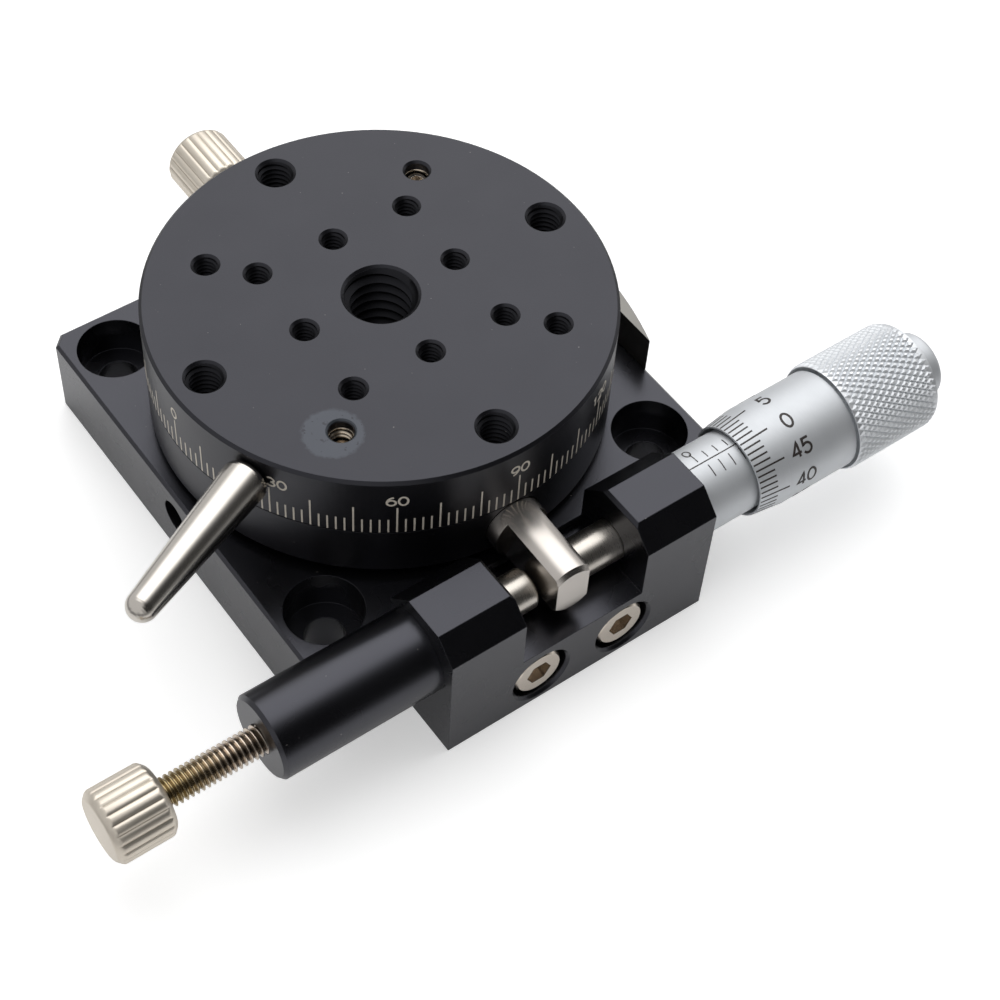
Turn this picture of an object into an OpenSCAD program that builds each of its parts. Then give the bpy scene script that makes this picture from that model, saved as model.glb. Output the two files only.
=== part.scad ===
// Rotation stage with a tangent-arm micrometer drive, 40 mm base and 38 mm table.
// Millimetres, +Z up. The origin is on the rotation axis, at the underside of the base.
// The drive block stands on the -Y side and its micrometer points along +X.

/* [Base] */
// Distance that the square base stands out past the table, each way
base_margin = 1; // [0.8:0.1:2]
// Thickness of the base
base_t = 7.5; // [7.5:0.1:9]
// Chamfer on the upright corners of the base
base_corner = 1; // [0.5:0.1:2]
// Chamfer round the top edge of the base
base_edge = 0.25; // [0.1:0.05:0.4]
// Distance of the four mounting holes from the sides of the base
mount_inset = 4; // [3.6:0.1:4.2]
// Through diameter of the mounting holes
mount_hole_d = 3.4; // [3.2:0.1:3.6]
// Counterbore diameter of the mounting holes
mount_cbore_d = 6.4; // [6:0.1:6.6]
// Counterbore depth of the mounting holes
mount_cbore_deep = 3.6; // [3:0.1:4.5]

/* [Bearing] */
// Diameter of the seat for the outer race
seat_d = 26.4; // [26:0.1:27]
// Height of the bearing races
race_h = 4; // [3.6:0.1:4.2]
// Height of the shoulder under the outer race
seat_floor = 2.6; // [2.4:0.1:2.8]
// Width of the shoulder under the outer race
seat_ledge = 1.2; // [0.8:0.1:1.6]
// Ball diameter
ball_d = 2; // [1.6:0.1:2.1]
// Number of balls
ball_count = 18; // [12:1:20]
// Radial wall of each race
race_wall = 2; // [1.8:0.05:2.1]

/* [Ring] */
// Diameter of the swing ring and of the table
table_d = 38; // [36:0.5:38.5]
// Gap between the base and the ring
ring_gap = 0.6; // [0.4:0.1:1]
// Height of the ring
ring_h = 4.95; // [4.8:0.05:5.5]
// Radial wall of the ring round the table's hub
ring_wall = 6.97; // [6.6:0.01:7.2]
// Thickness of the floor inside the ring
ring_floor = 1.2; // [1:0.1:1.5]
// Outer diameter of the sleeve under the ring, which carries the inner race
ring_sleeve_d = 16; // [15.6:0.1:16.2]
// Diameter of the shoulder above the inner race
ring_shoulder_d = 18.4; // [17.6:0.1:19]
// Height of the preload nut
nut_h = 1.4; // [1.2:0.1:1.5]
// Swing of the ring and its arm at rest, in degrees
rest_swing = -1.1; // [-3:0.1:3]

/* [Table] */
// Gap between the ring and the table
table_gap = 0.1; // [0.06:0.01:0.2]
// Thickness of the table
table_t = 6; // [5.8:0.1:7]
// Diameter of the table's central stub
stub_d = 10; // [9:0.1:10.4]
// Nominal thread diameter of the centre hole
centre_thread_d = 6; // [5:0.5:6]
// Distance of the four large threaded holes from the rim
large_inset = 3; // [2.8:0.1:3.2]
// Nominal thread diameter of the four large holes
large_thread_d = 3; // [2.5:0.1:3.2]
// Side of the square of four small threaded holes about the centre
small_square = 10; // [9.8:0.1:10.4]
// Circle of the middle four small holes
small_pcd = 20; // [19.6:0.1:20.4]
// Distance of the outer four small holes from the rim
outer_inset = 4.75; // [4.6:0.05:4.9]
// Nominal thread diameter of the small holes
small_thread_d = 2; // [1.6:0.1:2.2]
// Depth of the small holes
small_deep = 5; // [4:0.1:6]
// Chamfer at the rim of the table and the ring
rim_chamfer = 0.25; // [0.1:0.05:0.5]
// Chamfer at the mouth of the threaded holes
mouth_chamfer = 0.2; // [0.1:0.05:0.3]

/* [Handle] */
// Length of the handle outside the table
handle_l = 15.15; // [10:0.05:18]
// Diameter of the handle at its root
handle_root_d = 3.8; // [3:0.1:4.2]
// Diameter of the handle at its tip
handle_tip_d = 2.5; // [2:0.1:3]
// Direction of the handle from the centre, in degrees
handle_angle = -154.1; // [-160:0.1:-150]
// Height of the handle above the middle of the table's side
handle_up = 0.6; // [0:0.05:0.8]
// Diameter of the handle's threaded stud
handle_stud_d = 2; // [1.6:0.1:2.2]
// Length of the handle's stud in the table
handle_stud_l = 3.6; // [2.5:0.1:4]

/* [Drive block] */
// Length of the block along the drive
block_l = 25.2; // [24.6:0.1:26]
// Depth of the block, away from the base
block_w = 8.1; // [7.8:0.1:9]
// Height of the block
block_h = 13.5; // [13.2:0.1:13.5]
// Width of the gap that the arm swings in
gap_w = 11.6; // [11.4:0.1:12.4]
// Height of the gap's floor
gap_floor = 6.6; // [6:0.1:6.8]
// Chamfer along the front top edges of the towers
front_chamfer = 1.95; // [1:0.05:2.2]
// Chamfer along the back top edges of the towers
back_chamfer = 2.35; // [1:0.05:2.6]
// Distance of the drive's axis from the base
drive_out = 3.65; // [3.6:0.05:4.4]
// Height of the drive's axis
drive_z = 8.75; // [8.6:0.05:9]
// Spacing of the two block screws
block_screw_pitch = 8.1; // [7.8:0.1:9]
// Distance of the block screws' middle from the centre of the block
block_screw_shift = 0.25; // [0:0.05:0.5]
// Height of the block screws
block_screw_z = 3.1; // [3:0.1:3.4]
// Thread diameter of the block screws
block_screw_d = 2.5; // [2:0.1:2.6]
// Length of the block screws under the head
block_screw_l = 10.3; // [9:0.1:11]

/* [Tangent arm] */
// Diameter of the arm's rod
arm_d = 4.9; // [4.6:0.1:5]
// Width across the milled flats
arm_flats = 2.95; // [2.6:0.05:3.4]
// How far the arm reaches past the side of the base
arm_out = 6.9; // [6:0.1:7.4]
// Distance from the side of the base to the shoulder where the flats begin
shoulder_out = 0.2; // [0.1:0.1:1]
// Diameter of the arm's shank in the ring
arm_shank_d = 3; // [2.5:0.1:3.2]
// Length of the arm's shank in the ring
arm_shank_l = 5; // [4:0.1:6]
// Chamfer at the end of the arm
arm_chamfer = 0.35; // [0.1:0.05:0.5]
// Gap at rest between the arm's flats and each drive tip
tip_gap = 0.1; // [0.08:0.01:0.2]

/* [Micrometer] */
// Diameter of the sleeve's stem in the block
stem_d = 6; // [5.6:0.1:6.4]
// Length of the stems of the sleeve and of the plunger tube in the block
stem_l = 4; // [3:0.1:5]
// Diameter of the graduated sleeve
sleeve_d = 7.1; // [6.8:0.05:7.2]
// Length of the graduated sleeve
sleeve_l = 10; // [9.6:0.1:10.4]
// Diameter of the spindle
spindle_d = 3.5; // [3:0.1:3.6]
// Distance from the block to the thimble's edge at rest
thimble_out = 5.35; // [5:0.05:5.6]
// Diameter of the thimble
thimble_d = 8.75; // [8.4:0.05:9]
// Diameter of the thimble's bevelled edge
thimble_edge_d = 8; // [7.8:0.05:8.2]
// Length of the thimble's bevel
thimble_bevel = 2.9; // [2.5:0.1:3.6]
// Length of the thimble in front of the grip
thimble_l = 8.6; // [8.4:0.1:9]
// Diameter of the knurled grip
grip_d = 9.65; // [9.2:0.05:9.8]
// Radial wall of the knurled grip
grip_wall = 1; // [0.9:0.05:1.2]
// Length of the knurled grip
grip_l = 10.75; // [10:0.05:11.5]
// Diameter of the end cap
cap_d = 5; // [4.6:0.1:5.6]
// Length that the end cap stands out of the grip
cap_out = 1.7; // [0.6:0.1:2]

/* [Spring plunger] */
// Diameter of the plunger tube
tube_d = 7.05; // [6.8:0.05:7.4]
// Length of the tube outside the block
tube_l = 13.95; // [13.6:0.05:15]
// Diameter of the tube's stem in the block
tube_stem_d = 5; // [4.6:0.1:5.4]
// Bore of the tube around the spring
tube_bore_d = 4.7; // [4.6:0.1:5]
// Wall at the tube's outer end
tube_end = 1.9; // [1.5:0.1:2.2]
// Diameter of the plunger pin
pin_d = 3.5; // [3:0.1:3.6]
// Distance from the block's outer face to the pin's collar at rest
pin_collar_at = 3.8; // [3.7:0.05:4]
// Thickness of the pin's collar
pin_collar_t = 1; // [0.8:0.1:1.2]
// Wire diameter of the plunger spring
spring_wire = 0.36; // [0.2:0.02:0.4]
// Number of turns of the plunger spring
spring_turns = 8; // [5:1:10]

/* [Knurled screws] */
// Thread diameter of both knurled screws
thumb_thread_d = 2.5; // [2.4:0.1:3]
// Diameter of both knurled heads
knob_d = 6; // [5.6:0.1:6.2]
// Length of both knurled heads
knob_l = 4.95; // [4:0.05:5.2]
// Number of ridges on the knurled heads
knob_ridges = 28; // [20:1:32]
// Depth of the grooves between the ridges
knob_groove = 0.2; // [0.1:0.02:0.3]
// Chamfer on the knurled heads
knob_chamfer = 0.6; // [0.3:0.05:0.7]
// Length of lock screw thread that shows outside the tube
lock_thread_out = 8.35; // [8:0.05:10]
// Length of lock screw thread inside the tube
lock_thread_in = 3.5; // [3:0.1:3.6]
// Gap between the ring and the clamp screw's head at rest
clamp_head_gap = 5.5; // [5:0.1:8]
// Direction of the clamp screw in the ring, in degrees, where the arm points to -90
clamp_angle = 90.8; // [88:0.1:94]
// Length of the soft pads in the tips of the knurled screws
pad_l = 1.6; // [1.2:0.1:2]
// Length that the pads stand out of the screws
pad_out = 0.5; // [0.3:0.1:0.7]
// Diameter of the soft pads
pad_d = 1.4; // [1.2:0.1:1.6]

/* [Index plate] */
// Chord of the index plate, along the side of the base
index_chord = 20.9; // [18:0.1:24]
// Rise of the plate's rounded outer face
index_rise = 1.7; // [1.4:0.1:2.2]
// Height of the top of the index plate
index_top = 10.9; // [10:0.1:12]
// Height of the bottom of the index plate
index_bottom = 0.6; // [0.3:0.1:1]
// Spacing of the two index screws
index_screw_pitch = 9; // [8:0.1:11]
// Height of the index screws
index_screw_z = 4; // [3.6:0.1:4.4]

/* [Fits] */
// Radial clearance where one piece turns or slides in another
fit_run = 0.03; // [0.02:0.005:0.05]
// Radial clearance where a piece is seated for good
fit_seat = 0.01; // [0.005:0.005:0.02]

/* [Hidden] */

$fn = 96;
eps = 0.01;          // overlap of cutting tools past a face
through = 0.5;       // length that a drill runs past the faces it goes through

// Colours
black_anodised = "#2b2b2e";
dark_anodised = "#1c1c1f";
bare_steel = "#b8b2a8";
bright_steel = "#c9c7c3";
satin_chrome = "#c8cacd";
brass_yellow = "#b08d45";
soft_white = "#e6e2d6";

// Base
base_side = table_d + 2 * base_margin;
mount_pitch = base_side - 2 * mount_inset;
block_screw_spare = 1; // depth of hole left past the ends of the block screws
race_screw_spare = 1;  // how far the set screw's hole runs into the race seat
relief_gap = 0.3;      // radial gap between the base and the thimble that passes its edge

// Heights
ring_z = base_t + ring_gap;
ring_top = ring_z + ring_h;
table_z = ring_top + table_gap;
table_top = table_z + table_t;
arm_z = ring_z + ring_h / 2;
handle_z = table_z + table_t / 2 + handle_up;

// Bearing
race_top = seat_floor + race_h;
race_mid = seat_floor + race_h / 2;
outer_race_d = seat_d - 2 * fit_seat;
inner_race_d = ring_sleeve_d + 2 * fit_seat;
pitch_r = (outer_race_d + inner_race_d) / 4;
ball_gap = 0.02;     // play between a ball and its grooves
cage_t = 0.7;        // radial thickness of the ball cage
cage_h = 2.7;        // height of the ball cage
pocket_gap = 0.06;   // play of a ball in its cage pocket
retainer_wall = 1.4; // radial wall of the race retainer
nut_top = seat_floor;
nut_bottom = nut_top - nut_h;
nut_wall = 1.8;      // radial wall of the preload nut
spanner_slot_w = 1.2; // width of the spanner slots
spanner_slot_deep = 0.6; // depth of the spanner slots
retainer_slot_w = 1; // width of the slots in the race retainer
retainer_slot_deep = 0.4; // depth of the slots in the race retainer

// Table and ring
ring_bore_d = table_d - 2 * ring_wall;
hub_d = ring_bore_d - 2 * fit_run;
large_pcd = table_d - 2 * large_inset;
outer_pcd = table_d - 2 * outer_inset;
hub_bottom = ring_z + ring_floor + table_gap;
circlip_t = 0.5;     // thickness of the circlip
circlip_wall = 1.2;  // how far the circlip stands out of the stub
circlip_groove = 0.3; // depth of the circlip's groove
circlip_mouth = 3;   // width of the circlip's opening
handle_hole_spare = 0.3; // hole left past the end of the handle's stud
handle_shoulder = 0.8; // rounding of the handle's thick end
circlip_gap = 0.1;   // gap between the ring's sleeve and the circlip
stub_tail = 0.3;     // length of stub below the circlip
circlip_top = nut_bottom - circlip_gap;
stub_bottom = circlip_top - circlip_t - stub_tail;
washer_t = 0.5;      // thickness of the thrust washer
washer_wall = 2.6;   // radial wall of the thrust washer, centred under the set screws
washer_in_r = outer_pcd / 2 - washer_wall / 2;
washer_out_r = outer_pcd / 2 + washer_wall / 2;
washer_play = 0.05;  // gap between the washer and the table
washer_z = table_z - washer_play - washer_t;
preload_gap = 0.1;   // gap between the washer and the table's set screws
set_screw_sink = 1.1; // depth of the table's set screws under its face
hex_small = 0.9;     // hexagon of the small set screws, across flats
hex_small_deep = 1;  // depth of that hexagon

// Drive
block_y = -base_side / 2;
block_front = block_y - block_w;
drive_y = block_y - drive_out;
arm_reach = base_side / 2 + arm_out;
arm_shoulder = base_side / 2 + shoulder_out;
tower_r = block_l / 2;
gap_r = gap_w / 2;
gap_edge = 0.3;      // chamfer on the gap's upper edges
block_screw_x = [for (s = [-1, 1]) block_screw_shift + s * block_screw_pitch / 2];
screw_head_d = 4.4;  // head of the block screws
screw_head_h = 2.3;  // height of their heads
screw_head_edge = 0.2; // chamfer on their heads
screw_sink = 0.3;    // depth of the heads under the front face
screw_hex = 2;       // hexagon of the heads, across flats
screw_hex_deep = 1.3; // depth of that hexagon
screw_head_gap = 0.35; // radial gap round the heads
cbore_chamfer = 0.25; // chamfer at the mouth of the counterbores
screw_clear = 0.1;   // radial gap round the block screws in the block
screw_hole_deep = screw_sink + screw_head_h + block_screw_l - block_w + block_screw_spare;
swing_shift = -drive_y * tan(rest_swing);
flat_shift = arm_flats / 2 / cos(rest_swing);
spindle_tip_x = swing_shift + flat_shift + tip_gap;
pin_tip_x = swing_shift - flat_shift - tip_gap;
arm_seat = 0.35;     // depth of the arm's flat seat in the ring
arm_seat_clear = 0.1; // radial gap round the arm in that seat
arm_hole_spare = 0.5; // hole left past the end of the arm's shank

// Micrometer
tip_t = 0.5;         // thickness of the spindle's hardened tip
tip_dome = 0.25;     // height of its domed face
tip_edge = 0.2;      // rounding at the edge of that face
tip_inset = 0.05;    // how much smaller the tip is than the spindle, radially
tip_shank_d = 1.6;   // diameter of its shank
tip_shank_l = 2.5;   // length of its shank
tip_bore_spare = 0.3; // bore left behind the shank
spindle_front = spindle_tip_x + tip_t;
thimble_front = tower_r + thimble_out;
thimble_back = thimble_front + thimble_l;
grip_back = thimble_back + grip_l;
sleeve_back = tower_r + sleeve_l;
travel_in = 2.9;     // how far the micrometer can travel inwards from rest
relief_x = thimble_front - travel_in - relief_gap; // start of the relief in the base
stem_spare = 0.2;    // hole left past the ends of the stems in the block
drive_clear = 0.1;   // radial gap in the block round the spindle and the pin
thimble_web = 0.4;   // wall between the thimble's cavity and its back shoulder
thimble_lip = 0.15;  // radial wall of the thimble's edge
nut_seat_d = 5.8;    // diameter of the spindle nut in the sleeve
nut_seat_l = 3;      // length of the spindle nut
grip_seat_d = grip_d - 2 * grip_wall;
grip_seat_l = 8.4;   // length of the thimble's tail
grip_chamfer_front = 0.55; // chamfer on the front of the grip
grip_chamfer_back = 0.85; // chamfer on the back of the grip
grip_groove = 0.1;   // width of the groove between the thimble and the grip
grip_front = thimble_back + grip_groove;
cap_stud_d = 2;      // diameter of the cap's stud
cap_stud_l = 4;      // depth of the hole for that stud
cap_stud_spare = 0.3; // hole left past its end
cap_chamfer = 0.4;   // chamfer on the cap
spindle_back = thimble_back + grip_seat_l;

// Plunger and lock screw
tube_back = -tower_r - tube_l;
tube_front_wall = 0.2; // how far the pin's bore runs back from the block's face
tube_wide_front = -tower_r - tube_front_wall;
tube_wide_back = tube_back + tube_end;
tube_chamfer = 0.3;  // chamfer on the outer end of the tube
pin_dome = 0.6;      // length of the plunger's domed tip
collar_x = -tower_r - pin_collar_at;
collar_d = tube_bore_d - 4 * fit_run;
tail_d = 2.4;        // diameter of the pin's tail inside the spring
tail_l = 1.6;        // length of the pin's tail
spring_r = (tube_bore_d + thumb_thread_d) / 4;
spring_seat = 0.02;  // gap between the spring's ends and what they press on
spring_front = collar_x - pin_collar_t - spring_seat;
spring_back = tube_wide_back + spring_seat;
spring_steps = 12;   // rings of the spring's wire in each turn
wire_sides = 6;      // sides of the spring's wire
lock_head_x = tube_back - lock_thread_out;
lock_tip_x = tube_back + lock_thread_in;

// Clamp screw in the ring, nearly opposite the arm
clamp_pad_gap = 0.12; // gap at rest between the pad and the table's hub
clamp_pad_r = hub_d / 2 + clamp_pad_gap;
clamp_tip_r = clamp_pad_r + pad_out;
clamp_head_r = table_d / 2 + clamp_head_gap;

// Index plate
index_r = (index_chord * index_chord / 4 + index_rise * index_rise) / (2 * index_rise);
index_head_d = 3.2;  // head of the index screws
index_head_sink = 0.7; // depth of their heads in the plate
index_screw_d = 2;   // thread of the index screws
index_screw_l = 4;   // depth of the index screws' holes in the base
index_screw_spare = 0.3; // hole left past their ends
index_head_t = 0.7;  // thickness of their heads
index_clear = 0.15;  // radial gap round them in the plate
index_slot_w = 0.5;  // width of their slots
index_slot_deep = 0.3; // depth of their slots

// Set screw that holds the outer race
race_screw_d = 3;    // thread of the set screw
race_screw_sink = 2.3; // depth of the set screw under the side of the base
race_screw_l = (base_side - outer_race_d) / 2 - fit_seat - race_screw_sink;
race_screw_hex = 1.5; // its hexagon, across flats
race_screw_hex_deep = 1.5; // depth of that hexagon

// A cylinder along +X, from x0 to x1
module rod_x(d, x0, x1) {
    translate([x0, 0, 0]) rotate([0, 90, 0]) cylinder(d = d, h = x1 - x0);
}

// A solid turned about the X axis from [x, radius] points
module turned_x(points) {
    rotate([0, 90, 0]) rotate_extrude() polygon([for (p = points) [p[1], p[0]]]);
}

// A ring about Z
module ring_z_axis(outer_d, inner_d, z0, z1) {
    translate([0, 0, z0]) difference() {
        cylinder(d = outer_d, h = z1 - z0);
        translate([0, 0, -through]) cylinder(d = inner_d, h = z1 - z0 + 2 * through);
    }
}

// A hexagon socket along +X, from x0 inwards
module hex_socket_x(across, x0, deep) {
    translate([x0, 0, 0]) rotate([0, 90, 0]) cylinder(d = across / cos(30), h = deep, $fn = 6);
}

// The frame of the drive: X along the micrometer, the axis at the origin
module on_drive() {
    translate([0, drive_y, drive_z]) children();
}

// What swings with the ring, turned to its rest place
module on_ring() {
    rotate([0, 0, rest_swing]) children();
}

// A knurled head along +X from x = 0, with chamfered ends
module knurled_head() {
    step = 360 / knob_ridges;
    crest = 0.3; // share of each step that is ridge crest, to either side
    profile = [for (i = [0:knob_ridges - 1], k = [-crest, crest, 0.5])
        let (r = k == 0.5 ? knob_d / 2 - knob_groove : knob_d / 2)
        r * [cos((i + k) * step), sin((i + k) * step)]];
    intersection() {
        rotate([0, 90, 0]) linear_extrude(knob_l) polygon(profile);
        turned_x([[0, 0], [0, knob_d / 2 - knob_chamfer], [knob_chamfer, knob_d / 2],
            [knob_l - knob_chamfer, knob_d / 2], [knob_l, knob_d / 2 - knob_chamfer], [knob_l, 0]]);
    }
}

// ---- Base ----

// The base's square outline with its corners chamfered, drawn in by "inset"
module base_outline(inset) {
    half = base_side / 2 - inset;
    cut = base_corner - inset * (2 - sqrt(2));
    polygon([[half, half - cut], [half - cut, half], [cut - half, half], [-half, half - cut],
        [-half, cut - half], [cut - half, -half], [half - cut, -half], [half, cut - half]]);
}

module base_plate() {
    half = base_side / 2;
    color(black_anodised) difference() {
        hull() {
            linear_extrude(base_t - base_edge) base_outline(0);
            linear_extrude(base_t) base_outline(base_edge);
        }
        on_drive() rod_x(thimble_d + 2 * relief_gap, relief_x, half + through);
        translate([0, 0, seat_floor]) cylinder(d = seat_d, h = base_t);
        translate([0, 0, -through]) cylinder(d = seat_d - 2 * seat_ledge, h = base_t);
        for (x = [-1, 1], y = [-1, 1]) translate([x, y, 0] * mount_pitch / 2) {
            translate([0, 0, -through]) cylinder(d = mount_hole_d, h = base_t + 2 * through);
            translate([0, 0, base_t - mount_cbore_deep]) cylinder(d = mount_cbore_d, h = base_t);
        }
        for (x = block_screw_x) translate([x, block_y, block_screw_z])
            rotate([-90, 0, 0]) translate([0, 0, -through])
                cylinder(d = block_screw_d + 2 * fit_seat, h = through + screw_hole_deep);
        translate([0, 0, race_mid])
            rod_x(race_screw_d + 2 * fit_seat, -half - through, race_screw_spare - seat_d / 2);
        for (y = [-1, 1]) translate([0, y * index_screw_pitch / 2, index_screw_z])
            rod_x(index_screw_d + 2 * fit_seat, half - index_screw_l, half + through);
    }
}

module race_blank(outer_d, inner_d) {
    color(bright_steel) difference() {
        ring_z_axis(outer_d, inner_d, seat_floor, race_top);
        translate([0, 0, race_mid]) rotate_extrude()
            translate([pitch_r, 0]) circle(r = ball_d / 2 + ball_gap, $fn = 48);
    }
}

module outer_race() {
    race_blank(outer_race_d, outer_race_d - 2 * race_wall);
}

module race_retainer() {
    color(dark_anodised) difference() {
        ring_z_axis(seat_d - 2 * fit_seat, seat_d - 2 * retainer_wall, race_top, base_t);
        for (a = [45, 135]) rotate([0, 0, a]) translate([-seat_d, -retainer_slot_w / 2, base_t - retainer_slot_deep])
            cube([2 * seat_d, retainer_slot_w, 1]);
    }
}

module race_set_screw() {
    x0 = -outer_race_d / 2 - fit_seat - race_screw_l;
    color(bare_steel) translate([0, 0, race_mid]) difference() {
        rod_x(race_screw_d, x0, x0 + race_screw_l);
        hex_socket_x(race_screw_hex, x0 - eps, race_screw_hex_deep);
    }
}

module index_plate() {
    half = base_side / 2;
    color(bare_steel) difference() {
        translate([0, 0, index_bottom]) linear_extrude(index_top - index_bottom) intersection() {
            translate([half + index_rise - index_r, 0]) circle(r = index_r, $fn = 360);
            translate([half, -index_chord / 2]) square([index_rise + 1, index_chord]);
        }
        for (y = [-1, 1]) translate([0, y * index_screw_pitch / 2, index_screw_z]) {
            rod_x(index_screw_d + 2 * index_clear, half - through, half + index_rise + through);
            rod_x(index_head_d + 2 * index_clear, half + index_head_sink, half + index_rise + through);
        }
    }
}

module index_screws() {
    half = base_side / 2;
    head_top = half + index_head_sink + index_head_t;
    color(bare_steel) for (y = [-1, 1]) translate([0, y * index_screw_pitch / 2, index_screw_z])
        difference() {
            union() {
                rod_x(index_screw_d, half - index_screw_l + index_screw_spare, head_top - index_slot_deep);
                rod_x(index_head_d, half + index_head_sink, head_top);
            }
            translate([head_top - index_slot_deep, -index_head_d, -index_slot_w / 2])
                cube([1, 2 * index_head_d, index_slot_w]);
        }
}

// ---- Drive block and what is fixed in it ----

module block_section() {
    polygon([[-tower_r, 0], [tower_r, 0], [tower_r, block_h],
        [gap_r + gap_edge, block_h], [gap_r, block_h - gap_edge], [gap_r, gap_floor],
        [-gap_r, gap_floor], [-gap_r, block_h - gap_edge], [-gap_r - gap_edge, block_h],
        [-tower_r, block_h]]);
}

module block_side() {
    polygon([[block_front, 0], [block_y, 0], [block_y, block_h - back_chamfer],
        [block_y - back_chamfer, block_h], [block_front + front_chamfer, block_h],
        [block_front, block_h - front_chamfer]]);
}

module drive_block() {
    cbore_d = screw_head_d + 2 * screw_head_gap;
    color(black_anodised) difference() {
        intersection() {
            translate([0, block_y, 0]) rotate([90, 0, 0]) linear_extrude(block_w) block_section();
            translate([-tower_r, 0, 0]) rotate([90, 0, 90]) linear_extrude(block_l) block_side();
        }
        for (x = block_screw_x) translate([x, block_front, block_screw_z]) rotate([-90, 0, 0]) {
            translate([0, 0, -through]) cylinder(d = block_screw_d + 2 * screw_clear, h = block_w + 2 * through);
            translate([0, 0, -through]) cylinder(d = cbore_d, h = screw_head_h + screw_sink + through);
            translate([0, 0, -eps]) cylinder(d1 = cbore_d + 2 * cbore_chamfer, d2 = cbore_d, h = cbore_chamfer);
        }
        on_drive() {
            rod_x(spindle_d + 2 * drive_clear, 0, tower_r);
            rod_x(stem_d + 2 * fit_seat, tower_r - stem_l - stem_spare, tower_r + through);
            rod_x(pin_d + 2 * drive_clear, -tower_r, 0);
            rod_x(tube_stem_d + 2 * fit_seat, -tower_r - through, stem_l + stem_spare - tower_r);
        }
    }
}

module block_screws() {
    color(bright_steel) for (x = block_screw_x)
        translate([x, block_front + screw_sink, block_screw_z]) rotate([-90, 0, 0])
            difference() {
                union() {
                    cylinder(d1 = screw_head_d - 2 * screw_head_edge, d2 = screw_head_d, h = screw_head_edge);
                    translate([0, 0, screw_head_edge])
                        cylinder(d = screw_head_d, h = screw_head_h - screw_head_edge);
                    cylinder(d = block_screw_d, h = screw_head_h + block_screw_l);
                }
                translate([0, 0, -eps]) cylinder(d = screw_hex / cos(30), h = screw_hex_deep, $fn = 6);
            }
}

module micrometer_sleeve() {
    color(satin_chrome) on_drive() difference() {
        union() {
            rod_x(stem_d, tower_r - stem_l, tower_r + 1);
            rod_x(sleeve_d, tower_r, sleeve_back);
        }
        rod_x(spindle_d + 2 * fit_run, 0, sleeve_back + through);
        rod_x(nut_seat_d + 2 * fit_seat, sleeve_back - nut_seat_l, sleeve_back + through);
    }
}

module spindle_nut() {
    color(brass_yellow) on_drive() difference() {
        rod_x(nut_seat_d, sleeve_back - nut_seat_l, sleeve_back);
        rod_x(spindle_d + 2 * fit_run, sleeve_back - nut_seat_l - through, sleeve_back + through);
    }
}

module plunger_tube() {
    color(dark_anodised) on_drive() difference() {
        union() {
            rod_x(tube_stem_d, -tower_r - 1, stem_l - tower_r);
            turned_x([[tube_back, 0], [tube_back, tube_d / 2 - tube_chamfer],
                [tube_back + tube_chamfer, tube_d / 2], [-tower_r, tube_d / 2], [-tower_r, 0]]);
        }
        rod_x(pin_d + 2 * fit_run, tube_wide_front - 1, 0);
        rod_x(tube_bore_d, tube_wide_back, tube_wide_front);
        rod_x(thumb_thread_d + 2 * fit_run, tube_back - through, tube_wide_back + 1);
    }
}

// ---- Bearing ----

module bearing_balls() {
    color(bright_steel) for (i = [0:ball_count - 1])
        rotate([0, 0, i * 360 / ball_count]) translate([pitch_r, 0, race_mid]) sphere(d = ball_d, $fn = 32);
}

module ball_cage() {
    color(brass_yellow) difference() {
        ring_z_axis(2 * pitch_r + cage_t, 2 * pitch_r - cage_t, race_mid - cage_h / 2, race_mid + cage_h / 2);
        for (i = [0:ball_count - 1]) rotate([0, 0, i * 360 / ball_count])
            translate([0, 0, race_mid]) rod_x(ball_d + 2 * pocket_gap, pitch_r - 2, pitch_r + 2);
    }
}

// ---- Swing ring and what rides on it ----

module swing_ring() {
    color(black_anodised) on_ring() difference() {
        rotate_extrude() polygon([
            [stub_d / 2 + fit_run, nut_bottom], [ring_sleeve_d / 2, nut_bottom],
            [ring_sleeve_d / 2, race_top], [ring_shoulder_d / 2, race_top],
            [ring_shoulder_d / 2, ring_z], [table_d / 2 - rim_chamfer, ring_z],
            [table_d / 2, ring_z + rim_chamfer], [table_d / 2, ring_top],
            [washer_out_r + fit_run, ring_top], [washer_out_r + fit_run, washer_z],
            [washer_in_r - fit_run, washer_z], [washer_in_r - fit_run, ring_top],
            [ring_bore_d / 2, ring_top], [ring_bore_d / 2, ring_z + ring_floor],
            [stub_d / 2 + fit_run, ring_z + ring_floor]]);
        translate([0, 0, arm_z]) rotate([0, 0, clamp_angle])
            rod_x(thumb_thread_d + 2 * fit_run, ring_bore_d / 2 - 1, table_d / 2 + through);
        translate([0, 0, arm_z]) rotate([0, 0, -90]) {
            rod_x(arm_shank_d + 2 * fit_seat, table_d / 2 - arm_seat - arm_shank_l - arm_hole_spare,
                table_d / 2 + through);
            rod_x(arm_d + 2 * arm_seat_clear, table_d / 2 - arm_seat, table_d / 2 + through);
        }
    }
}

module tangent_arm() {
    root = table_d / 2 - arm_seat;
    color(bare_steel) on_ring() translate([0, 0, arm_z]) rotate([0, 0, -90]) {
        rod_x(arm_shank_d, root - arm_shank_l, root + 1);
        difference() {
            turned_x([[root, 0], [root, arm_d / 2], [arm_reach - arm_chamfer, arm_d / 2],
                [arm_reach, arm_d / 2 - arm_chamfer], [arm_reach, 0]]);
            for (s = [0, 1]) mirror([0, s, 0])
                translate([arm_shoulder, arm_flats / 2, -arm_d]) cube([arm_reach, arm_d, 2 * arm_d]);
        }
    }
}

module inner_race() {
    on_ring() race_blank(inner_race_d + 2 * race_wall, inner_race_d);
}

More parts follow.
